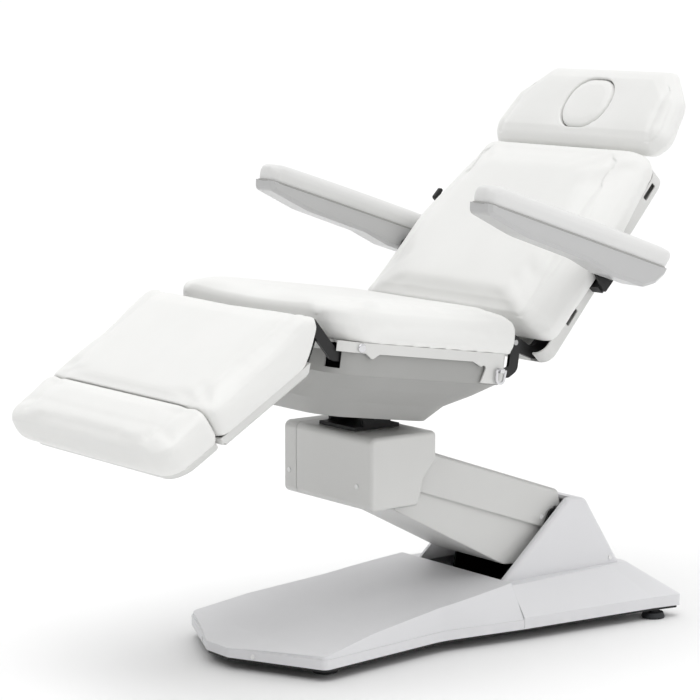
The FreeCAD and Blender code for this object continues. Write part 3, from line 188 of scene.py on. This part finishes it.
def makeStudio(s):
    deselectAll()
    bpy.ops.mesh.primitive_plane_add(size=s["floorSize"], location=(0, 0, -s["floorDrop"]))
    floor = bpy.context.object
    floor.name = "floor"
    mat, tree = newMaterial("rolled paint floor pale")
    coord = node(tree, "ShaderNodeTexCoord")
    cloud = node(tree, "ShaderNodeTexNoise", {"Scale": 0.8, "Detail": 2.0},
                 {"Vector": (coord, "Object")})
    shade = node(tree, "ShaderNodeMapRange", {"To Min": 0.7, "To Max": 0.8}, {"Value": (cloud, "Fac")})
    skin = node(tree, "ShaderNodeBsdfPrincipled", {"Base Color": hexColour(s["floorHex"])},
                {"Roughness": (shade, "Result")})
    node(tree, "ShaderNodeOutputMaterial", None, {"Surface": (skin, "BSDF")})
    paint(floor, mat)
    world = bpy.data.worlds.new("studio")
    world.use_nodes = True
    room = world.node_tree
    sky = room.nodes["Background"]
    sky.inputs["Strength"].default_value = s["skyStrength"]
    way = node(room, "ShaderNodeTexCoord")
    lengthways = node(room, "ShaderNodeSeparateXYZ", None, {"Vector": (way, "Generated")})
    share = node(room, "ShaderNodeMapRange", {"From Min": -0.8, "From Max": 0.2},
                 {"Value": (lengthways, "X")})
    walls = node(room, "ShaderNodeMix", {"data_type": "RGBA"}, {"Factor": (share, "Result")})
    walls.inputs[6].default_value = hexColour(s["footHex"])
    walls.inputs[7].default_value = hexColour(s["headHex"])
    room.links.new(walls.outputs[2], sky.inputs["Color"])
    bpy.context.scene.world = world
    data = bpy.data.lights.new("highSun", "SUN")
    data.energy = s["sunStrength"]
    data.angle = math.radians(s["sunSpread"])
    sun = bpy.data.objects.new("highSun", data)
    bpy.context.scene.collection.objects.link(sun)
    aimAt(sun, -Vector(s["sunFrom"]))
    for box in softboxes:
        data = bpy.data.lights.new(box["name"], "AREA")
        data.size = box["size"]
        data.energy = box["watts"]
        lamp = bpy.data.objects.new(box["name"], data)
        bpy.context.scene.collection.objects.link(lamp)
        lamp.location = box["place"]
        aimAt(lamp, Vector((0, 0, s["aimHeight"])) - lamp.location)


makeStudio(studio)
print("stage: camera and studio")


# materials

upholstery = {"name": "embossed polyurethane leather white", "hex": "#EFEFED", "shadeHex": "#E9E9E7",
              "grainMm": 3.2, "cloudMm": 140, "rough": 0.46}
restSkin = {"name": "integral-skin polyurethane pale", "hex": "#E3E3E2", "shadeHex": "#DDDDDC",
            "grainMm": 2.4, "cloudMm": 140, "rough": 0.36}


def puLeather(s):
    # embossed polyurethane, as coated cloth or as the skin of an arm pad: satin, with a fine pebble
    # the true pebble is about 1 mm; it is drawn up to 3 times coarser so that it shows
    mat, tree = newMaterial(s["name"])
    coord = node(tree, "ShaderNodeTexCoord")
    grain = node(tree, "ShaderNodeTexVoronoi",
                 {"Scale": 1000 / s["grainMm"], "feature": "DISTANCE_TO_EDGE"},
                 {"Vector": (coord, "Object")})
    cloud = node(tree, "ShaderNodeTexNoise", {"Scale": 1000 / s["cloudMm"], "Detail": 4.0},
                 {"Vector": (coord, "Object")})
    colour = node(tree, "ShaderNodeMix", {"data_type": "RGBA"}, {"Factor": (cloud, "Fac")})
    colour.inputs[6].default_value = hexColour(s["hex"])
    colour.inputs[7].default_value = hexColour(s["shadeHex"])
    rough = node(tree, "ShaderNodeMapRange", {"To Min": s["rough"] - 0.06, "To Max": s["rough"] + 0.06},
                 {"Value": (cloud, "Fac")})
    bump = node(tree, "ShaderNodeBump", {"Strength": 0.12, "Distance": 0.0004},
                {"Height": (grain, "Distance")})
    skin = node(tree, "ShaderNodeBsdfPrincipled",
                {"IOR": 1.48, "Sheen Weight": 0.08, "Sheen Roughness": 0.4},
                {"Roughness": (rough, "Result"), "Normal": (bump, "Normal")})
    tree.links.new(colour.outputs[2], skin.inputs["Base Color"])
    node(tree, "ShaderNodeOutputMaterial", None, {"Surface": (skin, "BSDF")})
    return mat


def mouldedPlastic(name, colourHex, shadeHex, rough, gritMm=2.0, cloudMm=200, edgeMm=1.5):
    # injection-moulded ABS, nylon or rubber: even colour, spark-eroded satin, edges eased by the tool
    # the true grit is near 0.2 mm; it is drawn coarse enough to show
    mat, tree = newMaterial(name)
    coord = node(tree, "ShaderNodeTexCoord")
    grit = node(tree, "ShaderNodeTexNoise", {"Scale": 1000 / gritMm, "Detail": 3.0},
                {"Vector": (coord, "Object")})
    cloud = node(tree, "ShaderNodeTexNoise", {"Scale": 1000 / cloudMm, "Detail": 3.0},
                 {"Vector": (coord, "Object")})
    colour = node(tree, "ShaderNodeMix", {"data_type": "RGBA"}, {"Factor": (cloud, "Fac")})
    colour.inputs[6].default_value = hexColour(colourHex)
    colour.inputs[7].default_value = hexColour(shadeHex)
    roughness = node(tree, "ShaderNodeMapRange", {"To Min": rough - 0.05, "To Max": rough + 0.05},
                     {"Value": (cloud, "Fac")})
    eased = node(tree, "ShaderNodeBevel", {"Radius": edgeMm / 1000, "samples": 4})
    bump = node(tree, "ShaderNodeBump", {"Strength": 0.06, "Distance": 0.0003},
                {"Height": (grit, "Fac"), "Normal": (eased, "Normal")})
    skin = node(tree, "ShaderNodeBsdfPrincipled", {"IOR": 1.5},
                {"Roughness": (roughness, "Result"), "Normal": (bump, "Normal")})
    tree.links.new(colour.outputs[2], skin.inputs["Base Color"])
    node(tree, "ShaderNodeOutputMaterial", None, {"Surface": (skin, "BSDF")})
    return mat


def powderCoat(name, colourHex, rough, peelMm=3.0):
    # a film on steel or board: a low orange-peel
    mat, tree = newMaterial(name)
    coord = node(tree, "ShaderNodeTexCoord")
    peel = node(tree, "ShaderNodeTexNoise", {"Scale": 1000 / peelMm, "Detail": 2.0},
                {"Vector": (coord, "Object")})
    roughness = node(tree, "ShaderNodeMapRange", {"To Min": rough - 0.08, "To Max": rough + 0.08},
                     {"Value": (peel, "Fac")})
    bump = node(tree, "ShaderNodeBump", {"Strength": 0.15, "Distance": 0.0003},
                {"Height": (peel, "Fac")})
    skin = node(tree, "ShaderNodeBsdfPrincipled", {"Base Color": hexColour(colourHex), "IOR": 1.5},
                {"Roughness": (roughness, "Result"), "Normal": (bump, "Normal")})
    node(tree, "ShaderNodeOutputMaterial", None, {"Surface": (skin, "BSDF")})
    return mat


def brightMetal(name, colourHex, rough, scratchMm):
    # ground or plated steel: clear reflections broken by fine marks
    mat, tree = newMaterial(name)
    coord = node(tree, "ShaderNodeTexCoord")
    marks = node(tree, "ShaderNodeTexNoise", {"Scale": 1000 / scratchMm, "Detail": 2.0},
                 {"Vector": (coord, "Object")})
    roughness = node(tree, "ShaderNodeMapRange", {"To Min": rough * 0.6, "To Max": rough * 1.4},
                     {"Value": (marks, "Fac")})
    skin = node(tree, "ShaderNodeBsdfPrincipled", {"Base Color": hexColour(colourHex), "Metallic": 1.0},
                {"Roughness": (roughness, "Result")})
    node(tree, "ShaderNodeOutputMaterial", None, {"Surface": (skin, "BSDF")})
    return mat


leatherWhite = puLeather(upholstery)
paleSkin = puLeather(restSkin)
finishes = {
    "base_plastic": mouldedPlastic("moulded ABS pale cool grey", "#E7E7E9", "#E1E1E3", 0.42),
    "lift_plastic": mouldedPlastic("moulded ABS pale grey", "#DADAD8", "#D4D4D2", 0.4, edgeMm=6.0),
    "seat_plastic": mouldedPlastic("moulded ABS near white", "#DEDEDC", "#D8D8D6", 0.42),
    # the hull's own grey plastic, taken darker than it is: painted shade for the shadow under the seat's
    # overhang
    "hull_plastic": mouldedPlastic("moulded ABS mid grey with painted shade", "#A8A8A6", "#A0A09E", 0.45),
    "rest_plastic": mouldedPlastic("moulded ABS pale grey polished", "#C4C4C4", "#BEBEBE", 0.3),
    "black_steel": powderCoat("powder-coated steel black", "#101011", 0.5),
    "bright_steel": brightMetal("ground steel", "#B4B4B4", 0.28, 0.8),
    "chrome": brightMetal("chrome plate", "#D6D6D8", 0.08, 2.0),
    "black_rubber": mouldedPlastic("moulded rubber black", "#2B2D30", "#242628", 0.7),
    "black_plastic": mouldedPlastic("moulded nylon black", "#0E0E0F", "#141415", 0.5),
    "white_plastic": mouldedPlastic("moulded nylon white", "#F1F1F1", "#EAEAEA", 0.4),
    "board_wood": powderCoat("stained plywood dark", "#1C1B1A", 0.7),
    "white_upholstery": leatherWhite,
}
for sub in frame["record"]["subparts"]:
    paint(nodes[sub["node"]], finishes[sub["material_slot"]])
print("stage: materials")


# where each section of the bed sits: its hinge and its lean; x runs to the head, z out of the padding

sectionHinges = {
    "seat": ("seat_tilt", 8.4), "leg": ("leg_lift", -31.0), "back": ("back_recline", -46.0),
    "head": ("head_tilt", -52.5),
    "armRight": ("arm_swing_right", 18.4), "armLeft": ("arm_swing_left", 18.4),
}


def sectionAt(jointName, lean):
    hinge = Vector(joints[jointName]["pos_m"])
    return Matrix.Translation(hinge) @ Matrix.Rotation(math.radians(lean), 4, "Y")


sections = {name: sectionAt(jointName, lean) for name, (jointName, lean) in sectionHinges.items()}


# cushions: each starts from its own block, is blown up as cloth on its flat foot, then gets its sewn valleys
# sewn: a valley runs lengthways on both sides, at half[0] by the foot end and half[1] by the head end
# squareEnds: an end that is filled out; its steps say by height how far the block draws in there

backSteps = [(-0.016, 0), (0.004, 0.006), (0.024, 0.016), (0.039, 0.034), (0.048, 0.076)]
cushions = [
    {"cadNode": "seat_cushion", "body": "seat", "section": "seat",
     "voxel": 0.0065, "shrink": 0.003, "cap": 0.010, "fill": 0.8, "footWider": 1.02,
     "sewn": {"above": 0.215, "from": -0.36, "to": 0.19, "half": (0.247, 0.247), "edge": 0.315,
              "deep": 0.003, "wide": 0.016, "crown": 0.002}},
    {"cadNode": "leg_cushion", "body": "leg", "section": "leg",
     "voxel": 0.006, "shrink": 0.0015, "cap": 0.007, "fill": 0.8,
     "squareEnds": [{"at": -0.314, "way": 1, "share": 0.9, "reach": 0.003, "raise": 0.0,
                     "steps": [(-0.002, 0), (0.0066, 0.007), (0.0125, 0.022), (0.0174, 0.054)]}],
     "sewn": {"above": -0.004, "from": -0.32, "to": 0.03, "half": (0.247, 0.247), "edge": 0.315,
              "deep": 0.003, "wide": 0.016, "crown": 0.002}},
    {"cadNode": "foot_cushion", "body": "foot", "section": "leg",
     "voxel": 0.005, "shrink": 0.0015, "cap": 0.006, "fill": 0.8,
     "squareEnds": [{"at": -0.319, "way": -1, "share": 0.9, "reach": 0.003, "raise": 0.0035,
                     "steps": [(-0.0097, 0), (0.0017, 0.002), (0.009, 0.008), (0.0164, 0.03)]}],
     "sewn": {"above": -0.004, "from": -0.42, "to": -0.31, "half": (0.235, 0.247), "edge": 0.315,
              "deep": 0.003, "wide": 0.016, "crown": 0.002}},
    {"cadNode": "back_cushion", "body": "back", "section": "back",
     "voxel": 0.007, "shrink": 0.003, "cap": 0.010, "fill": 0.8,
     "squareEnds": [{"at": 0.036, "way": 1, "share": 0.6, "reach": 0.0, "raise": 0.0, "steps": backSteps},
                    {"at": 0.560, "way": -1, "share": 0.35, "reach": 0.004, "raise": 0.0,
                     "steps": backSteps}],
     "sewn": {"above": 0.022, "from": 0.05, "to": 0.55, "half": (0.272, 0.222), "edge": 0.335,
              "deep": 0.004, "wide": 0.012, "crown": 0.002}},
    {"cadNode": "head_cushion", "body": "headrest", "section": "head",
     "voxel": 0.005, "shrink": 0.001, "cap": 0.004, "fill": 0.8,
     "hole": {"middle": 0.070, "halfX": 0.070, "halfY": 0.076, "rim": 1.16},
     "sewn": {"above": 0.076, "from": -0.02, "to": 0.17, "half": (0.256, 0.226), "edge": 0.30,
              "deep": 0.003, "wide": 0.009, "crown": 0.002}},
    {"cadNode": "head_plug", "body": "plug", "section": "head",
     "voxel": 0.004, "shrink": 0.0005, "cap": 0.002, "fill": 0.8, "footDrop": 0.0},
    {"cadNode": "arm_pad_right", "body": "arm_right", "section": "armRight",
     "voxel": 0.004, "shrink": 0.002, "cap": 0.004, "fill": 0.7, "skin": paleSkin},
    {"cadNode": "arm_pad_left", "body": "arm_left", "section": "armLeft",
     "voxel": 0.004, "shrink": 0.002, "cap": 0.004, "fill": 0.7, "skin": paleSkin},
]
padding = {"endZone": 0.1, "endHold": 0.008, "footBand": 0.001, "rimFrom": 0.28, "sewnFade": 0.02,
           "pressure": 4, "stretch": 40, "shear": 20, "bend": 8, "steps": 20, "evenTurns": 10}


def stepped(steps, at):
    if at <= steps[0][0]:
        return steps[0][1]
    for (low, first), (high, second) in zip(steps, steps[1:]):
        if at <= high:
            return first + (second - first) * (at - low) / (high - low)
    return steps[-1][1]


def squareUp(piece, s, home):
    # leg and foot pads meet in one flat top, and the back runs on behind the seat: such ends are filled out
    inverse = home.inverted()
    for end in s["squareEnds"]:
        for vert in piece.data.vertices:
            local = inverse @ vert.co
            near = 1 - abs(local.x - end["at"]) / padding["endZone"]
            if near > 0:
                local.x -= end["way"] * (end["share"] * stepped(end["steps"], local.z) + end["reach"])
                if local.z > end["steps"][0][0]:
                    local.z += end["raise"] * near
                vert.co = home @ local


def settleFoot(piece, s, home):
    # the foot goes back down on its tray, and the seat's is filled out to the rim
    inverse = home.inverted()
    places = [inverse @ vert.co for vert in piece.data.vertices]
    lowest = min(p.z for p in places)
    drop = s.get("footDrop", s["shrink"])
    for vert, p in zip(piece.data.vertices, places):
        if p.z < lowest + padding["footBand"]:
            wider = s.get("footWider", 1) if abs(p.y) > padding["rimFrom"] else 1
            vert.co = home @ Vector((p.x, p.y * wider, p.z - drop))


def evenOut(piece, start, cap):
    # the swelling is capped and shared between neighbours, so edges stay crisp and the skin stays taut
    moves = []
    for vert, at in zip(piece.data.vertices, start):
        move = vert.co - at
        moves.append(move.normalized() * min(move.length, cap))
    beside = [[] for vert in start]
    for edge in piece.data.edges:
        first, second = edge.vertices
        beside[first].append(second)
        beside[second].append(first)
    for turn in range(padding["evenTurns"]):
        moves = [(move + sum((moves[other] for other in near), Vector()) / max(1, len(near))) / 2
                 for move, near in zip(moves, beside)]
    for vert, at, move in zip(piece.data.vertices, start, moves):
        vert.co = at + move


def blowUp(piece, s, held):
    start = [v.co.copy() for v in piece.data.vertices]
    pins = piece.vertex_groups.new(name="held")
    pins.add(held, 1.0, "REPLACE")
    cloth = piece.modifiers.new("blown", "CLOTH")
    cloth.settings.use_pressure = True
    cloth.settings.uniform_pressure_force = padding["pressure"]
    cloth.settings.vertex_group_mass = "held"
    cloth.settings.tension_stiffness = padding["stretch"]
    cloth.settings.compression_stiffness = padding["stretch"]
    cloth.settings.shear_stiffness = padding["shear"]
    cloth.settings.bending_stiffness = padding["bend"]
    cloth.settings.effector_weights.gravity = 0
    cloth.point_cache.frame_start = 1
    cloth.point_cache.frame_end = padding["steps"]
    scene = bpy.context.scene
    for step in range(1, padding["steps"] + 1):
        scene.frame_set(step)
    pick(piece)
    bpy.ops.object.modifier_apply(modifier="blown")
    scene.frame_set(1)
    evenOut(piece, start, s["cap"])
    piece.vertex_groups.clear()


def heldVerts(piece, s, home):
    # the flat foot stays down, split ends stay square and the walls of a hole stay open
    inverse = home.inverted()
    places = [inverse @ v.co for v in piece.data.vertices]
    lowest = min(p.z for p in places)
    held = []
    for index, p in enumerate(places):
        onFoot = p.z < lowest + 0.5 * s["voxel"]
        onEnd = any(abs(p.x - end["at"]) < padding["endHold"] for end in s.get("squareEnds", []))
        inHole = False
        if "hole" in s:
            hole = s["hole"]
            across, sideways = (p.x - hole["middle"]) / hole["halfX"], p.y / hole["halfY"]
            inHole = across ** 2 + sideways ** 2 < hole["rim"]
        if onFoot or onEnd or inHole:
            held.append(index)
    return held


def sewValleys(piece, sewn, home):
    inverse = home.inverted()
    up = (home.to_3x3() @ Vector((0, 0, 1))).normalized()
    for vert in piece.data.vertices:
        p = inverse @ vert.co
        if p.z < sewn["above"]:
            continue
        along = min(1, max(0, (p.x - sewn["from"]) / (sewn["to"] - sewn["from"])))
        half = sewn["half"][0] + (sewn["half"][1] - sewn["half"][0]) * along
        past = max(sewn["from"] - p.x, p.x - sewn["to"])
        ends = min(1, max(0, 1 - past / padding["sewnFade"]))
        off = abs(p.y) - half
        move = -sewn["deep"] * math.exp(-(off / sewn["wide"]) ** 2)
        if 0 < off < sewn["edge"] - half:
            move += sewn["crown"] * math.sin(math.pi * off / (sewn["edge"] - half))
        vert.co += up * move * ends


def makeCushion(s):
    home = sections[s["section"]]
    piece = copyOfNode(s["cadNode"], s["cadNode"].replace("_", "-") + "-padded")
    if "squareEnds" in s:
        squareUp(piece, s, home)
    editAll(piece)
    bpy.ops.transform.shrink_fatten(value=-s["shrink"])
    bpy.ops.object.mode_set(mode="OBJECT")
    settleFoot(piece, s, home)
    piece.data.remesh_voxel_size = s["voxel"]
    bpy.ops.object.voxel_remesh()
    applied(piece, "SMOOTH", "softened", factor=0.5, iterations=2)
    blowUp(piece, s, heldVerts(piece, s, home))
    applied(piece, "SMOOTH", "eased", factor=0.5, iterations=1)
    applied(piece, "SUBSURF", "fine", levels=1, render_levels=1)
    if "sewn" in s:
        sewValleys(piece, s["sewn"], home)
    pick(piece)
    bpy.ops.object.shade_smooth()
    paint(piece, s.get("skin", leatherWhite))
    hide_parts(s["cadNode"])
    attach(piece, s["body"])
    print("stage: cushion", s["cadNode"], len(piece.data.polygons), "faces")


for cushion in cushions:
    makeCushion(cushion)


# welt: the grey strip pinched between an arm pad and its shell

welt = {"front": -0.427, "rear": 0.123, "half": 0.0378, "cornerRound": 0.027, "low": 0.0405, "high": 0.0445,
        "edgeRound": 0.0012, "smoothAngle": 40}


def makeWelt(name, section, body):
    s = welt
    deselectAll()
    bpy.ops.mesh.primitive_plane_add(size=1)
    piece = bpy.context.object
    piece.name = name
    editAll(piece)
    bpy.ops.transform.resize(value=(s["rear"] - s["front"], 2 * s["half"], 1))
    bpy.ops.transform.translate(value=((s["rear"] + s["front"]) / 2, 0, s["low"]))
    bpy.ops.mesh.bevel(offset=s["cornerRound"], offset_type="OFFSET", segments=8, affect="VERTICES")
    bpy.ops.mesh.select_all(action="SELECT")
    bpy.ops.mesh.extrude_region_move(TRANSFORM_OT_translate={"value": (0, 0, s["high"] - s["low"])})
    bpy.ops.mesh.select_all(action="SELECT")
    bpy.ops.mesh.normals_make_consistent(inside=False)
    bpy.ops.object.mode_set(mode="OBJECT")
    applied(piece, "BEVEL", "rounded", width=s["edgeRound"], segments=2, limit_method="ANGLE")
    piece.data.transform(sections[section])
    pick(piece)
    bpy.ops.object.shade_smooth_by_angle(angle=math.radians(s["smoothAngle"]))
    # the welt takes the hull's darkened grey: its own grey strip plus painted shade for the shadow along the
    # seam
    paint(piece, finishes["hull_plastic"])
    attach(piece, body)


makeWelt("arm-welt-right", "armRight", "arm_right")
makeWelt("arm-welt-left", "armLeft", "arm_left")
print("stage: welts")


# screw caps: a low button with a rolled rim and a dimple, one drawing for every place

screwCap = {"radius": 0.0058, "high": 0.0024, "sides": 24, "rim": 0.0016, "slope": 0.00096,
            "dimple": 0.0007, "edgeRound": 0.0006, "smoothAngle": 35}
capPlaces = [
    {"name": "tower-screw-caps", "body": "base", "nodes": ["tower_screws"],
     "at": [((0.589, -0.160, 0.132), (0, -1, 0)), ((0.589, 0.160, 0.132), (0, 1, 0))]},
    {"name": "arm-screw-caps", "body": "upper_arm", "nodes": ["arm_screws"],
     "at": [((0.400, -0.128, 0.248), (0, -1, 0)), ((0.400, 0.128, 0.248), (0, 1, 0))]},
    {"name": "column-screw-caps", "body": "column", "nodes": ["column_screws"],
     "at": [((-0.123, -0.112, 0.379), (-1, 0, 0)), ((-0.123, 0.140, 0.379), (-1, 0, 0))]},
    {"name": "base-screw-caps", "body": "base", "nodes": [],
     "at": [((-0.3927, -0.0972, 0.0355), (-0.903, -0.431, 0)),
            ((-0.3927, 0.0972, 0.0355), (-0.903, 0.431, 0))]},
]


def oneCap(s, at, facing):
    deselectAll()
    bpy.ops.mesh.primitive_cylinder_add(vertices=s["sides"], radius=s["radius"], depth=s["high"])
    cap = bpy.context.object
    editAll(cap)
    bpy.ops.transform.translate(value=(0, 0, s["high"] / 2))
    selectFaces(cap, lambda face: face.normal.z > 0.9)
    bpy.ops.mesh.inset(thickness=s["rim"])
    bpy.ops.mesh.inset(thickness=s["slope"])
    bpy.ops.transform.translate(value=(0, 0, -s["dimple"]))
    bpy.ops.object.mode_set(mode="OBJECT")
    applied(cap, "BEVEL", "rolled", width=s["edgeRound"], segments=2, limit_method="ANGLE")
    turn = Vector(facing).to_track_quat("Z", "Y").to_matrix().to_4x4()
    cap.data.transform(Matrix.Translation(Vector(at)) @ turn)
    return cap


def makeCaps(place):
    caps = [oneCap(screwCap, at, facing) for at, facing in place["at"]]
    deselectAll()
    for cap in caps:
        cap.select_set(True)
    bpy.context.view_layer.objects.active = caps[0]
    bpy.ops.object.join()
    piece = bpy.context.object
    piece.name = place["name"]
    bpy.ops.object.shade_smooth_by_angle(angle=math.radians(screwCap["smoothAngle"]))
    paint(piece, finishes["white_plastic"])
    if place["nodes"]:
        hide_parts(*place["nodes"])
    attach(piece, place["body"])


for place in capPlaces:
    makeCaps(place)
print("stage: screw caps")


# bright fittings: pull rings, keepers and side caps get rolled edges

rolling = {"flatAngle": 2, "edgeAngle": 40}
fittings = [
    {"cadNode": "pull_ring_right", "body": "ring_right", "roll": 0.0018},
    {"cadNode": "pull_ring_left", "body": "ring_left", "roll": 0.0018},
    {"cadNode": "side_caps", "body": "seat", "roll": 0.0022},
    {"cadNode": "ring_keepers", "body": "seat", "roll": 0.0015},
]


def rollEdges(s):
    piece = copyOfNode(s["cadNode"], s["cadNode"].replace("_", "-") + "-rolled")
    editAll(piece)
    bpy.ops.mesh.dissolve_limited(angle_limit=math.radians(rolling["flatAngle"]))
    bpy.ops.object.mode_set(mode="OBJECT")
    edgeAngle = math.radians(rolling["edgeAngle"])
    applied(piece, "BEVEL", "rolled", width=s["roll"], segments=3, limit_method="ANGLE",
            angle_limit=edgeAngle)
    pick(piece)
    bpy.ops.object.shade_smooth_by_angle(angle=edgeAngle)
    paint(piece, finishes["chrome"])
    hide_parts(s["cadNode"])
    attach(piece, s["body"])


for fitting in fittings:
    rollEdges(fitting)
print("stage: bright fittings")


print("stage: done")
